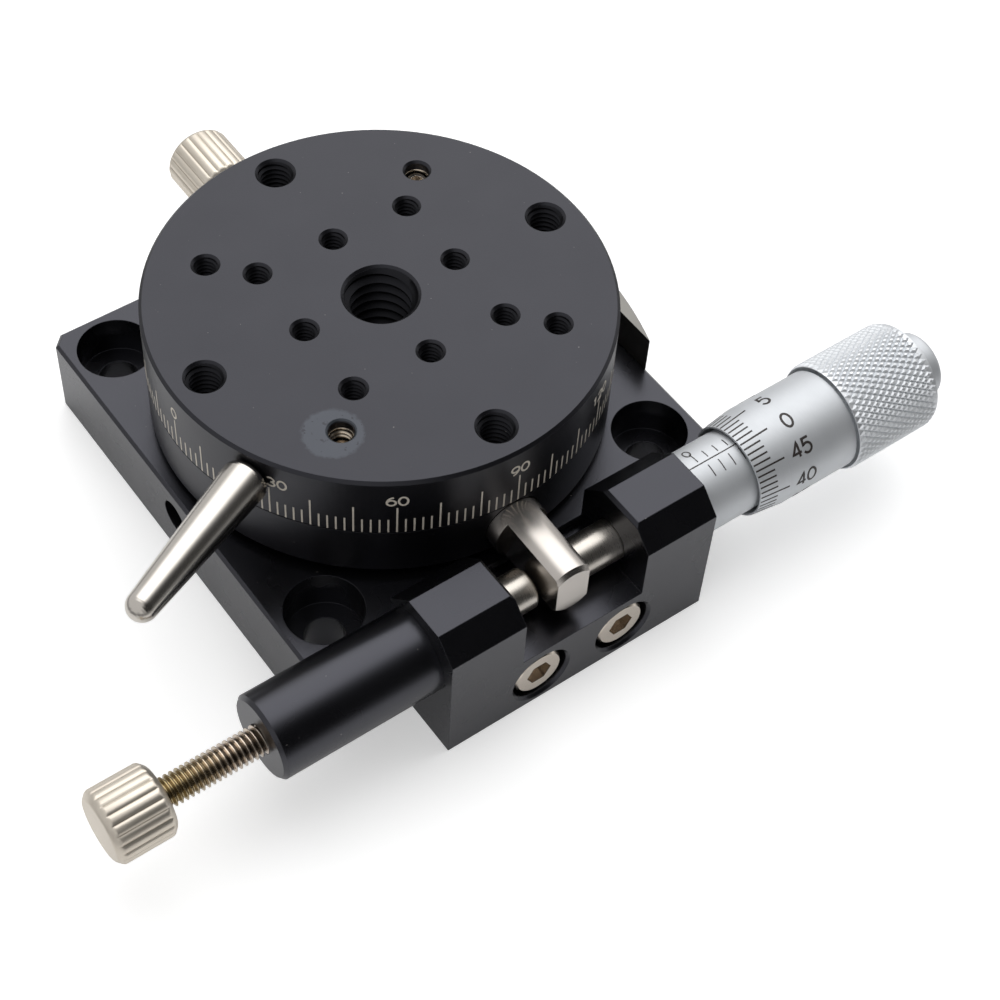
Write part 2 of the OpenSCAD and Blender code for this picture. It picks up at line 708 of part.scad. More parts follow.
module preload_nut() {
    color(bare_steel) on_ring() difference() {
        ring_z_axis(ring_sleeve_d + 2 * nut_wall, ring_sleeve_d + 2 * fit_seat, nut_bottom, nut_top);
        for (a = [0, 90]) rotate([0, 0, a]) translate([-ring_sleeve_d, -spanner_slot_w / 2, nut_bottom - 1])
            cube([2 * ring_sleeve_d, spanner_slot_w, 1 + spanner_slot_deep]);
    }
}

module thrust_washer() {
    color(brass_yellow) on_ring()
        ring_z_axis(2 * washer_out_r, 2 * washer_in_r, washer_z, washer_z + washer_t);
}

// ---- Table and what rides on it ----

module threaded_mouth(d, deep) {
    translate([0, 0, table_top - deep]) cylinder(d = d, h = deep + through, $fn = 48);
    translate([0, 0, table_top - mouth_chamfer])
        cylinder(d1 = d, d2 = d + 2 * mouth_chamfer + 2 * eps, h = mouth_chamfer + eps, $fn = 48);
}

module dial_table() {
    color(black_anodised) on_ring() difference() {
        rotate_extrude() polygon([
            [0, stub_bottom], [stub_d / 2, stub_bottom],
            [stub_d / 2, circlip_top - circlip_t], [stub_d / 2 - circlip_groove, circlip_top - circlip_t],
            [stub_d / 2 - circlip_groove, circlip_top], [stub_d / 2, circlip_top],
            [stub_d / 2, hub_bottom], [hub_d / 2, hub_bottom], [hub_d / 2, table_z],
            [table_d / 2, table_z], [table_d / 2, table_top - rim_chamfer],
            [table_d / 2 - rim_chamfer, table_top], [0, table_top]]);
        threaded_mouth(centre_thread_d, table_top - stub_bottom + through);
        for (a = [0:90:270]) rotate([0, 0, a]) {
            translate([large_pcd / 2, 0, 0]) threaded_mouth(large_thread_d, table_t + through);
            translate([small_square / sqrt(2), 0, 0]) threaded_mouth(small_thread_d, small_deep);
        }
        for (a = [45:90:315]) rotate([0, 0, a]) {
            translate([small_pcd / 2, 0, 0]) threaded_mouth(small_thread_d, small_deep);
            translate([outer_pcd / 2, 0, 0]) threaded_mouth(small_thread_d, table_t + through);
        }
        rotate([0, 0, handle_angle]) translate([0, 0, handle_z])
            rod_x(handle_stud_d + 2 * fit_seat, table_d / 2 - handle_stud_l - handle_hole_spare,
                table_d / 2 + through);
    }
}

module handle_lever() {
    root = table_d / 2 + fit_seat;
    tip = root + handle_l;
    color(bright_steel) on_ring() rotate([0, 0, handle_angle]) translate([0, 0, handle_z]) {
        rod_x(handle_stud_d, table_d / 2 - handle_stud_l, root + 1);
        turned_x(concat([[root, 0]],
            [for (a = [0:15:90])
                [root + handle_shoulder * (1 - cos(a)), handle_root_d / 2 - handle_shoulder * (1 - sin(a))]],
            [for (a = [90:-10:0]) [tip - handle_tip_d / 2 * (1 - cos(a)), handle_tip_d / 2 * sin(a)]]));
    }
}

module table_set_screws() {
    color(bare_steel) on_ring() for (a = [45, 225]) rotate([0, 0, a])
        translate([outer_pcd / 2, 0, 0]) difference() {
            translate([0, 0, washer_z + washer_t + preload_gap])
                cylinder(d = small_thread_d - 2 * fit_seat,
                    h = table_top - set_screw_sink - washer_z - washer_t - preload_gap, $fn = 48);
            translate([0, 0, table_top - set_screw_sink - hex_small_deep])
                cylinder(d = hex_small / cos(30), h = 2, $fn = 6);
        }
}

module stub_circlip() {
    color(bright_steel) on_ring() difference() {
        ring_z_axis(stub_d + 2 * circlip_wall, stub_d - 2 * circlip_groove + 2 * fit_seat,
            circlip_top - circlip_t + eps, circlip_top - eps);
        translate([0, -circlip_mouth / 2, circlip_top - circlip_t - through])
            cube([stub_d, circlip_mouth, circlip_t + 2 * through]);
    }
}

// ---- Clamp screw in the ring ----

module on_clamp() {
    on_ring() translate([0, 0, arm_z]) rotate([0, 0, clamp_angle]) children();
}

module clamp_pad() {
    color(soft_white) on_clamp() rod_x(pad_d, clamp_pad_r, clamp_pad_r + pad_l);
}

module clamp_screw() {
    color(bare_steel) on_clamp() difference() {
        union() {
            rod_x(thumb_thread_d, clamp_tip_r, clamp_head_r + 1);
            translate([clamp_head_r, 0, 0]) knurled_head();
        }
        rod_x(pad_d + 2 * fit_run, clamp_tip_r - 1, clamp_pad_r + pad_l + fit_run);
    }
}

// ---- Micrometer ----

module spindle_tip() {
    tip_r = spindle_d / 2 - tip_inset;
    color(bright_steel) on_drive() {
        turned_x(concat([[spindle_tip_x, 0]],
            [for (k = [0.25:0.25:1]) [spindle_tip_x + tip_dome * k * k, (tip_r - tip_edge) * k]],
            [[spindle_tip_x + tip_dome + tip_edge, tip_r], [spindle_front, tip_r], [spindle_front, 0]]));
        rod_x(tip_shank_d, spindle_front - eps, spindle_front + tip_shank_l);
    }
}

module spindle() {
    color(bare_steel) on_drive() difference() {
        rod_x(spindle_d, spindle_front + fit_run, spindle_back);
        rod_x(tip_shank_d + 2 * fit_run, spindle_front - 1, spindle_front + tip_shank_l + tip_bore_spare);
        rod_x(cap_stud_d + 2 * fit_seat, spindle_back - cap_stud_l, spindle_back + 1);
    }
}

module thimble() {
    cavity_back = thimble_back - thimble_web;
    color(satin_chrome) on_drive() difference() {
        turned_x([[thimble_front, 0], [thimble_front, thimble_edge_d / 2],
            [thimble_front + thimble_bevel, thimble_d / 2], [thimble_back, thimble_d / 2],
            [thimble_back, grip_seat_d / 2], [thimble_back + grip_seat_l, grip_seat_d / 2],
            [thimble_back + grip_seat_l, 0]]);
        rod_x(thimble_edge_d - 2 * thimble_lip, thimble_front - 1, cavity_back);
        rod_x(spindle_d + 2 * fit_seat, cavity_back - 1, spindle_back + 1);
    }
}

module thimble_grip() {
    color(satin_chrome) on_drive() difference() {
        turned_x([[grip_front, 0], [grip_front, grip_d / 2 - grip_chamfer_front],
            [grip_front + grip_chamfer_front, grip_d / 2],
            [grip_back - grip_chamfer_back, grip_d / 2], [grip_back, grip_d / 2 - grip_chamfer_back],
            [grip_back, 0]]);
        rod_x(grip_seat_d + 2 * fit_seat, thimble_back - 1, spindle_back + fit_seat);
        rod_x(cap_d + 2 * fit_seat, spindle_back - 1, grip_back + 1);
    }
}

module thimble_cap() {
    color(satin_chrome) on_drive() {
        rod_x(cap_stud_d, spindle_back - cap_stud_l + cap_stud_spare, spindle_back + 1);
        turned_x([[spindle_back + fit_seat, 0], [spindle_back + fit_seat, cap_d / 2],
            [grip_back + cap_out - cap_chamfer, cap_d / 2], [grip_back + cap_out, cap_d / 2 - cap_chamfer],
            [grip_back + cap_out, 0]]);
    }
}

// ---- Plunger and lock screw ----

module plunger_pin() {
    color(bright_steel) on_drive() {
        turned_x(concat(
            [for (a = [0:10:90]) [pin_tip_x - pin_dome * (1 - cos(a)), pin_d / 2 * sin(a)]],
            [[collar_x, pin_d / 2], [collar_x, collar_d / 2], [collar_x - pin_collar_t, collar_d / 2],
            [collar_x - pin_collar_t, tail_d / 2], [collar_x - pin_collar_t - tail_l, tail_d / 2],
            [collar_x - pin_collar_t - tail_l, 0]]));
    }
}

// Point k of ring i of the spring's wire
function spring_point(i, k) =
    let (n = spring_turns * spring_steps,
        a = 360 * i / spring_steps,
        b = 360 * k / wire_sides,
        r = spring_r + spring_wire / 2 * cos(b),
        x0 = spring_back + spring_wire / 2,
        x1 = spring_front - spring_wire / 2)
    [x0 + (x1 - x0) * i / n + spring_wire / 2 * sin(b), r * cos(a), r * sin(a)];

module plunger_spring() {
    n = spring_turns * spring_steps;
    color(bare_steel) on_drive() polyhedron(
        points = [for (i = [0:n], k = [0:wire_sides - 1]) spring_point(i, k)],
        faces = concat(
            [[for (k = [0:wire_sides - 1]) k]],
            [for (i = [0:n - 1], k = [0:wire_sides - 1])
                let (a = i * wire_sides + k, b = i * wire_sides + (k + 1) % wire_sides)
                [a, a + wire_sides, b + wire_sides, b]],
            [[for (k = [wire_sides - 1:-1:0]) n * wire_sides + k]]));
}

module lock_pad() {
    color(soft_white) on_drive() rod_x(pad_d, lock_tip_x + pad_out - pad_l, lock_tip_x + pad_out);
}

module lock_screw() {
    color(bare_steel) on_drive() difference() {
        union() {
            rod_x(thumb_thread_d, lock_head_x - 1, lock_tip_x);
            translate([lock_head_x - knob_l, 0, 0]) knurled_head();
        }
        rod_x(pad_d + 2 * fit_run, lock_tip_x + pad_out - pad_l - fit_run, lock_tip_x + 1);
    }
}

base_plate();
outer_race();
race_retainer();
race_set_screw();
index_plate();
index_screws();
drive_block();
block_screws();
micrometer_sleeve();
spindle_nut();
plunger_tube();
bearing_balls();
ball_cage();
swing_ring();
tangent_arm();
inner_race();
preload_nut();
thrust_washer();
dial_table();
handle_lever();
table_set_screws();
stub_circlip();
clamp_pad();
clamp_screw();
spindle_tip();
spindle();
thimble();
thimble_grip();
thimble_cap();
plunger_pin();
plunger_spring();
lock_pad();
lock_screw();
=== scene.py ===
"""Rotation stage: finishes, engraved scales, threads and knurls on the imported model.

The floor, the light and the camera are made here too.
"""
import bpy
import bmesh
import math
from mathutils import Matrix, Vector


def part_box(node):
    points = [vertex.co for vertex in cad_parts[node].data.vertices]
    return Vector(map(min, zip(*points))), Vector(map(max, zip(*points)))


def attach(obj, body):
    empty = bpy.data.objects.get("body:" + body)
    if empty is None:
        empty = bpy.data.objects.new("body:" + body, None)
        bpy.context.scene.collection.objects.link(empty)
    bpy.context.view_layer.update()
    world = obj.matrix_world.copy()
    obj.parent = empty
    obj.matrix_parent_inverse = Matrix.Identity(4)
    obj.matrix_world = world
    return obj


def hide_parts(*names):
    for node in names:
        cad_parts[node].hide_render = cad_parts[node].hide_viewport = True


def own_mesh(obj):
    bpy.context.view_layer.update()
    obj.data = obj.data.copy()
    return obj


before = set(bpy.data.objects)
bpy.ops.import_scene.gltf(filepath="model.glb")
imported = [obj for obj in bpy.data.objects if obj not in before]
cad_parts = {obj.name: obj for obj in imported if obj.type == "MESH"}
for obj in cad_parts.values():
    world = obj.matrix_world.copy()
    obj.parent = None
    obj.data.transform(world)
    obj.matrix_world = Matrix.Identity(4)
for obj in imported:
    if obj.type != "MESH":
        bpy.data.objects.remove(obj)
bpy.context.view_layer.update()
scene = bpy.context.scene

MM = 0.001                                  # lengths below are in millimetres until they become vertices

# ---- Sizes of the stage, in millimetres and degrees ----
REST_SWING = -1.1                           # ring, table and arm at rest
TABLE_R, TABLE_TOP, TABLE_FOOT = 19.0, 19.15, 13.15

# engraved scales: LINE and FIGURE_LINE are widths of a stroke, FIGURE is the height of a figure
# the dial round the table: its zero's direction at rest, and heights of its lines and numbers
DIAL_ZERO = 179.7
DIAL_SHORT_TOP, DIAL_LONG_TOP, DIAL_NUMBERS = 14.75, 16.2, 17.0
DIAL_LINE, DIAL_FIGURE, DIAL_FIGURE_WIDER, DIAL_FIGURE_LINE = 0.14, 0.95, 1.12, 0.17
INDEX_FROM, INDEX_TO, INDEX_TOP = 20.08, 21.55, 10.9      # the line that the dial is read against

# the table's holes: circles they lie on, heights between which each is tapped
OUTER_R, INNER_R, MIDDLE_R, SET_SCREW_R = 16, 10 / math.sqrt(2), 10, 14.25
THREAD_TOP, BARE_TOP, CENTRE_FOOT, DEEP_FOOT, SMALL_FOOT = 18.93, 18.3, 0.5, 13.25, 14.3
SET_SCREWS = ((45, 18.05), (225, 17.1))     # direction and height of the top of each set screw
SET_SCREW_BODY_R, SOCKET_R, SOCKET_DEEP = 0.9, 0.52, 0.7

# metric threads in a hole: pitch, bore radius and crest radius
M6, M3, M2 = (1.0, 3.0, 2.5), (0.5, 1.5, 1.25), (0.4, 1.0, 0.8)

# the micrometer and the plunger, along X on one axis
DRIVE_Y, DRIVE_Z = -23.65, 8.75
BLOCK_END = 12.6
SLEEVE_R, SLEEVE_SEEN = 3.55, 9.9           # and how far its long line runs out of the block
SLEEVE_ZERO, SLEEVE_DIVISION = 14.37, 1.03  # its zero line, and one division along it
SLEEVE_LINE, SLEEVE_FIGURE, SLEEVE_FIGURE_LINE = 0.09, 0.85, 0.12
READING_LINE = 91                           # angle of the sleeve's long line about the drive's axis
THIMBLE_READING = 51.05                     # the thimble's division on that line at rest
THIMBLE_DIVISIONS, THIMBLE_SHORT, THIMBLE_LONG = 50, 1.65, 2.75
THIMBLE_LINE, THIMBLE_FIGURE, THIMBLE_FIGURE_LINE = 0.15, 1.25, 0.21
THIMBLE_FRONT, THIMBLE_BEVEL_END = 17.95, 20.85
THIMBLE_EDGE_R, THIMBLE_R = 4.0, 4.375
THIMBLE_BACK, THIMBLE_BORE_R, THIMBLE_BORE_END, SPINDLE_BORE_R = 27.95, 3.85, 26.15, 1.76
THIMBLE_TAIL_R, THIMBLE_END = 3.825, 34.95
GRIP_FRONT, GRIP_BACK, GRIP_R = 28.0, 36.9, 4.825
GRIP_SEAT_R, GRIP_SEAT_BACK, CAP_R, CAP_END = 3.835, 34.96, 2.95, 39.0
DIAMONDS_ROUND, DIAMOND_ROWS, DIAMOND_HALF, DIAMOND_DEEP = 50, 18, 0.475, 0.15
SPRING_TURNS, WIRE_R, SPRING_CLOSES = 8, 0.18, 3.05

# the two knurled screws, M2.5
PITCH, ROOT_R, CREST_R = 0.45, 0.975, 1.25
KNOB_R, KNOB_RIDGES = 3.0, 22
LOCK_TIP, LOCK_HEAD, LOCK_END = -23.05, -34.9, -39.85
CLAMP_DIRECTION, CLAMP_Z = 89.7, 10.575
CLAMP_TIP, CLAMP_HEAD, CLAMP_END = 12.62, 23.6, 29.45
PAD_BORE_R, PAD_BORE_DEEP = 0.73, 1.13

# ---- Camera ----


def make_camera():
    """Looks down at the stage's front left corner through a long lens."""
    lens = bpy.data.cameras.new("camera")
    lens.lens = 76.908
    lens.sensor_width = 36
    lens.clip_start = 0.001
    camera = bpy.data.objects.new("camera", lens)
    scene.collection.objects.link(camera)
    # its sideways and upward directions, and its place in metres
    right = Vector((0.80832736, -0.58670699, 0.04880343))
    up = Vector((0.44359395, 0.66145794, 0.60472953))
    back = right.cross(up)
    place = Vector((-0.06494727582, -0.09512576796, 0.14391184824))
    turned = Matrix((right, up, back)).transposed().to_4x4()
    camera.matrix_world = Matrix.Translation(place) @ turned
    scene.camera = camera


make_camera()

# ---- Materials ----


def linear(text, alpha=1.0):
    """An sRGB hex colour as Blender's linear RGBA."""
    parts = [int(text[i:i + 2], 16) / 255 for i in (1, 3, 5)]
    return tuple(c / 12.92 if c <= 0.04045 else ((c + 0.055) / 1.055) ** 2.4 for c in parts) + (alpha,)


def add(tree, kind, inputs=None, **settings):
    """Adds a node with its settings. Each input is a socket to link from, an sRGB hex colour or a value."""
    node = tree.nodes.new("ShaderNode" + kind)
    for key, value in settings.items():
        setattr(node, key, value)
    for key, value in (inputs or {}).items():
        if isinstance(value, bpy.types.NodeSocket):
            tree.links.new(value, node.inputs[key])
        else:
            node.inputs[key].default_value = linear(value) if isinstance(value, str) else value
    return node


def new_material(name, **sockets):
    """A material with a Principled shader; sockets are set on it. Returns material, tree and shader."""
    material = bpy.data.materials.new(name)
    material.use_nodes = True
    tree = material.node_tree
    shader = tree.nodes["Principled BSDF"]
    for key, value in sockets.items():
        shader.inputs[key.replace("_", " ")].default_value = value
    return material, tree, shader


def grain(tree, size, detail=2.0, stretch=(1, 1, 1)):
    """Uneven grain in the object's own space, size in millimetres; stretch below 1 draws it out."""
    where = add(tree, "TexCoord").outputs["Object"]
    drawn = add(tree, "Mapping", {"Vector": where, "Scale": stretch})
    noise = add(tree, "TexNoise", {"Vector": drawn.outputs["Vector"], "Scale": 1 / (size * MM),
                                   "Detail": detail, "Roughness": 0.6})
    return noise.outputs["Fac"]


def roughen(tree, shader, height, depth, edge):
    """Bump of a real depth in millimetres over edges rounded by a small radius."""
    edges = add(tree, "Bevel", {"Radius": edge * MM}, samples=4)
    bump = add(tree, "Bump", {"Height": height, "Distance": depth * MM, "Normal": edges.outputs["Normal"]})
    tree.links.new(bump.outputs["Normal"], shader.inputs["Normal"])


def black_anodised(name, light, ior, roughness, grain_mm, depth, rounding, lay=(1, 1, 1)):
    """Aluminium dyed black in the anodising bath, with a few specks of dust.

    The oxide is clear and hard over a black body, so it takes its grey from what it mirrors: paler at a
    slant, almost black where it faces the dark side of the room.
    """
    material, tree, shader = new_material(
        name, Roughness=roughness, IOR=ior, Specular_Tint=linear("#eff0ff"))
    fine = grain(tree, grain_mm, 3, lay)
    dyed = add(tree, "Mix", {"Factor": fine, "A": "#010101", "B": light}, data_type="RGBA")
    # real dust is near 0.05 mm; its specks are drawn up to 0.35 mm, so that one shows here and there
    dust = add(tree, "MapRange", {"Value": grain(tree, 0.35, 1), "From Min": 0.8, "From Max": 0.84})
    dusty = add(tree, "Mix", {"Factor": dust.outputs["Result"], "A": dyed.outputs["Result"],
                              "B": "#6f6c69"}, data_type="RGBA")
    tree.links.new(dusty.outputs["Result"], shader.inputs["Base Color"])
    handled = add(tree, "MapRange", {"Value": grain(tree, 5.0), "To Min": roughness - 0.04,
                                     "To Max": roughness + 0.04})
    tree.links.new(handled.outputs["Result"], shader.inputs["Roughness"])
    roughen(tree, shader, fine, depth, rounding)
    return material, tree, shader, dusty.outputs["Result"]


def blasted_table():
    """The table's black oxide over fine blasted aluminium: an even, soft grey sheen.

    A washer has rubbed a round bluish patch, with a few dark specks left in it, beside an outer hole.
    Real blast pits are about 0.05 mm wide; they are drawn 0.13 mm wide, so that they show.
    """
    material, tree, shader, colour = black_anodised(
        "black anodised aluminium, blasted", "#0d0c0f", 1.55, 0.36, 0.13, 0.006, 0.05)
    rise = 15                               # Z is stretched, so that the patch stays off the hole's wall
    flat = add(tree, "Mapping", {"Vector": add(tree, "TexCoord").outputs["Object"], "Scale": (1, 1, rise)})
    middle = (-10.93 * MM, -9.76 * MM, rise * TABLE_TOP * MM)
    away = add(tree, "VectorMath", {0: flat.outputs["Vector"], 1: middle}, operation="DISTANCE")
    wander = add(tree, "MapRange", {"Value": grain(tree, 0.5, 4), "To Min": -0.28 * MM, "To Max": 0.28 * MM})
    edge = add(tree, "Math", {0: away.outputs["Value"], 1: wander.outputs["Result"]}, operation="ADD")
    patch = add(tree, "MapRange", {"Value": edge.outputs[0], "From Min": 2.5 * MM, "From Max": 2.2 * MM})
    specks = add(tree, "MapRange", {"Value": grain(tree, 0.45, 2), "From Min": 0.62, "From Max": 0.66,
                                    "To Min": 1.0, "To Max": 0.1})
    share = add(tree, "Math", {0: patch.outputs["Result"], 1: specks.outputs["Result"]}, operation="MULTIPLY")
    rubbed = add(tree, "Mix", {"Factor": share.outputs[0], "A": colour, "B": "#3a3f44"}, data_type="RGBA")
    tree.links.new(rubbed.outputs["Result"], shader.inputs["Base Color"])
    return material


def bright_metal(name, colour, shade, roughness, lay_mm, depth, lay=(1, 1, 1), hollow_shade=None, oiled=None):
    """Bare or plated metal with the fine lines of its tool, which draw the highlight out and soften it.

    Real tool lines are 0.01 to 0.03 mm apart; lay_mm draws them 0.04 to 0.08 mm apart, so that they show.
    The hollow shade, where given, is a painted shade colour laid where Pointiness is low, darkening grooves
    and thread roots. Oiled gives the two places along X, in millimetres, between which a straw tint of dried
    oil sets in; it ends at the head.
    """
    material, tree, shader = new_material(name, Metallic=1.0, Roughness=roughness)
    lines = grain(tree, lay_mm, 2, lay)
    metal = add(tree, "Mix", {"Factor": grain(tree, 3.0), "A": shade, "B": colour}, data_type="RGBA")
    if hollow_shade:
        # painted shade: the hollow colour darkens grooves and thread roots, where Pointiness is low
        raised = add(tree, "MapRange", {"Value": add(tree, "NewGeometry").outputs["Pointiness"],
                                        "From Min": 0.46, "From Max": 0.505})
        metal = add(tree, "Mix", {"Factor": raised.outputs["Result"], "A": hollow_shade,
                                  "B": metal.outputs["Result"]}, data_type="RGBA")
    if oiled:
        along = add(tree, "SeparateXYZ", {0: add(tree, "TexCoord").outputs["Object"]}).outputs["X"]
        near = add(tree, "MapRange", {"Value": along, "From Min": oiled[0] * MM, "From Max": oiled[1] * MM})
        past = add(tree, "Math", {0: along, 1: LOCK_HEAD * MM}, operation="GREATER_THAN")
        share = add(tree, "Math", {0: near.outputs["Result"], 1: past.outputs[0]}, operation="MULTIPLY")
        metal = add(tree, "Mix", {"Factor": share.outputs[0], "A": metal.outputs["Result"],
                                  "B": "#a39474"}, data_type="RGBA")
    tree.links.new(metal.outputs["Result"], shader.inputs["Base Color"])
    gloss = add(tree, "MapRange", {"Value": lines, "To Min": roughness - 0.06, "To Max": roughness + 0.08})
    tree.links.new(gloss.outputs["Result"], shader.inputs["Roughness"])
    roughen(tree, shader, lines, depth, 0.05)
    return material


def plain_matt(name, dark, light, roughness, ior):
    """A dull non-metal with a little unevenness in its colour, drawn 0.12 mm wide so that it shows."""
    material, tree, shader = new_material(name, Roughness=roughness, IOR=ior)
    fine = grain(tree, 0.12)
    mottled = add(tree, "Mix", {"Factor": fine, "A": dark, "B": light}, data_type="RGBA")
    tree.links.new(mottled.outputs["Result"], shader.inputs["Base Color"])
    roughen(tree, shader, fine, 0.002, 0.02)
    return material


ROUND_X = (1, 0.06, 0.06)                   # tool lines that run round the X axis
ROUND_Z = (0.06, 0.06, 1)                   # and round the Z axis

# Milled flats, black all over: a faint even tooth, real lines 0.05 mm apart drawn at 0.13 mm, and a pale line
# of light along each broken edge.
anodised_milled = black_anodised(
    "black anodised aluminium, milled", "#08080a", 1.6, 0.27, 0.13, 0.005, 0.1)[0]
# Turned tube: fine rings, real feed 0.04 mm drawn at 0.08 mm, that spread its highlight into one long streak.
anodised_turned = black_anodised(
    "black anodised aluminium, turned", "#060608", 1.66, 0.28, 0.08, 0.0035, 0.06, ROUND_X)[0]
# Blasted top and rim: the softest and greyest of the black faces.
anodised_table = blasted_table()
# Tapped before anodising: the torn flanks of the thread scatter light, so the holes look dull and deep black.
anodised_thread = black_anodised(
    "black anodised aluminium, tapped", "#050506", 1.4, 0.45, 0.1, 0.003, 0.03)[0]
# Polished arm: mirrors the room in long clean bands, slightly warm.
arm_steel = bright_metal("stainless steel, turned and milled", "#d2ccc6", "#bab4ae", 0.22, 0.06, 0.0005)
# Lever polished by hands: one bright streak along it, with a soft edge.
handle_steel = bright_metal("stainless steel, polished", "#d9d4cd", "#c2bcb4", 0.2, 0.05, 0.0006)
# Rolled knurl, tumbled afterwards: broad soft light on each ridge, and a grey-brown painted shade in the
# grooves.
knob_steel = bright_metal("stainless steel, knurled", "#e4dccf", "#d3cabd", 0.42, 0.05, 0.001,
                          hollow_shade="#a49a8b")
# Rolled thread: burnished crests glint, a dark painted shade sits in the roots, and dried oil tints it straw
# near a head.
thread_steel = bright_metal("stainless steel, rolled thread", "#dcd0c3", "#c2b5a6", 0.2, 0.05, 0.001,
                            hollow_shade="#4a4036", oiled=(-29.5, -33.5))
# Turned pins: rings round the axis make the highlight a narrow band along them.
pin_steel = bright_metal("stainless steel, turned", "#d0cbc4", "#b9b3aa", 0.28, 0.04, 0.001, ROUND_X)
# Forged screw heads, barrel polished: bright, warm and smooth.
screw_steel = bright_metal("stainless steel, cold headed", "#e0d6ca", "#cbc1b5", 0.2, 0.08, 0.0008)
# Freshly cut thread in bare aluminium: white glints on the crests against roots darkened with painted shade.
bare_thread = bright_metal("bare aluminium, tapped", "#e2d5c3", "#c9bba8", 0.2, 0.05, 0.001,
                           hollow_shade="#2c2621")
# Plate left as milled: a dull even grey, with faint upright lines.
plate_steel = bright_metal("stainless steel, milled plate", "#8f8d89", "#7c7a76", 0.5, 0.06, 0.001,
                           (1, 1, 0.1))
# Ground races and balls: nearly a mirror.
ground_steel = bright_metal("bearing steel, ground", "#d2d1ce", "#b8b6b2", 0.16, 0.04, 0.0005, ROUND_Z)
# Drawn wire: smooth, darker than the pins, with a thin bright line on each turn.
spring_wire = bright_metal("spring steel, drawn wire", "#b6b3ad", "#8f8c86", 0.3, 0.05, 0.001)
# Satin chrome: cool pale grey without sharp reflections, so that the scale reads well from every side.
satin_chrome = bright_metal("satin chrome plate on steel", "#dddfe2", "#d1d4d7", 0.62, 0.05, 0.001, ROUND_X)
# The same plate on the knurl: the flat tops of the diamonds catch the light, and painted shade makes the
# valleys greyer.
knurled_chrome = bright_metal("satin chrome plate on a knurl", "#eceef1", "#e0e3e6", 0.5, 0.05, 0.001,
                              hollow_shade="#b3bac0")
# Machined bronze: warm yellow brown, bright where the cutter passed last.
bronze = bright_metal("bronze, machined", "#c79a5c", "#9d7440", 0.3, 0.06, 0.0012, ROUND_Z)
# Cut nylon: waxy off-white.
nylon = plain_matt("nylon rod, cut", "#d9d2bf", "#e9e4d4", 0.45, 1.53)
# Laser marked oxide: chalky warm white that does not shine.
scale_white = plain_matt("oxide bleached by a laser", "#b5ada1", "#d8d1c5", 0.6, 1.5)
# Paint rubbed into the engraving: matt brown black.
scale_dark = plain_matt("black filled engraving", "#1f1a18", "#3a3330", 0.5, 1.5)

FINISH = {
    "base_plate": anodised_milled, "race_retainer": anodised_milled, "drive_block": anodised_milled,
    "swing_ring": anodised_table, "dial_table": anodised_table, "plunger_tube": anodised_turned,
    "index_plate": plate_steel,
    "outer_race": ground_steel, "inner_race": ground_steel, "bearing_balls": ground_steel,
    "spindle": pin_steel, "spindle_tip": pin_steel, "plunger_pin": pin_steel,
    "spindle_nut": bronze, "ball_cage": bronze, "thrust_washer": bronze,
    "race_set_screw": screw_steel, "index_screws": screw_steel, "block_screws": screw_steel,
    "preload_nut": screw_steel, "table_set_screws": screw_steel,
    "plunger_spring": spring_wire, "stub_circlip": spring_wire,
    "tangent_arm": arm_steel, "handle_lever": handle_steel,
    "clamp_screw": knob_steel, "lock_screw": knob_steel,
    "micrometer_sleeve": satin_chrome, "thimble": satin_chrome, "thimble_grip": knurled_chrome,
    "thimble_cap": satin_chrome,
    "clamp_pad": nylon, "lock_pad": nylon,
}
for node, finish in FINISH.items():
    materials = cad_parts[node].data.materials
    materials.clear()
    materials.append(finish)

# ---- Making pieces ----


def make_piece(name, points, faces, material, body, crease=None):
    """A mesh piece from points in millimetres, riding on a body. With a crease angle its faces are smooth,
    and only edges sharper than that stay sharp."""
    mesh = bpy.data.meshes.new(name)
    mesh.from_pydata([[c * MM for c in p] for p in points], [], faces)
    shape = bmesh.new()
    shape.from_mesh(mesh)
    bmesh.ops.remove_doubles(shape, verts=shape.verts, dist=1e-7)
    bmesh.ops.dissolve_degenerate(shape, edges=shape.edges, dist=1e-7)
    bmesh.ops.recalc_face_normals(shape, faces=shape.faces)
    for face in shape.faces:
        face.smooth = crease is not None
    shape.to_mesh(mesh)
    shape.free()
    if crease is not None:
        mesh.set_sharp_from_angle(angle=math.radians(crease))
    mesh.materials.append(material)
    piece = bpy.data.objects.new(name, mesh)
    scene.collection.objects.link(piece)
    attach(piece, body)
    return piece


def on_drive(x, r, a):
    """A point at radius r and angle a about the drive's axis; 0 points to +Y and 90 up."""
    return (x, DRIVE_Y + r * math.cos(math.radians(a)), DRIVE_Z + r * math.sin(math.radians(a)))


def on_clamp(x, r, a):
    """A point at distance x out along the clamp screw, at radius r and angle a about it."""
    d = math.radians(CLAMP_DIRECTION)
    side = r * math.cos(math.radians(a))
    return (x * math.cos(d) - side * math.sin(d), x * math.sin(d) + side * math.cos(d),
            CLAMP_Z + r * math.sin(math.radians(a)))


def upright(radius, direction):
    """Points about an upright axis in the table, at a radius and direction from its centre at rest."""
    d = math.radians(direction + REST_SWING)
    cx, cy = radius * math.cos(d), radius * math.sin(d)
    return lambda x, r, a: (cx + r * math.cos(math.radians(a)), cy + r * math.sin(math.radians(a)), x)


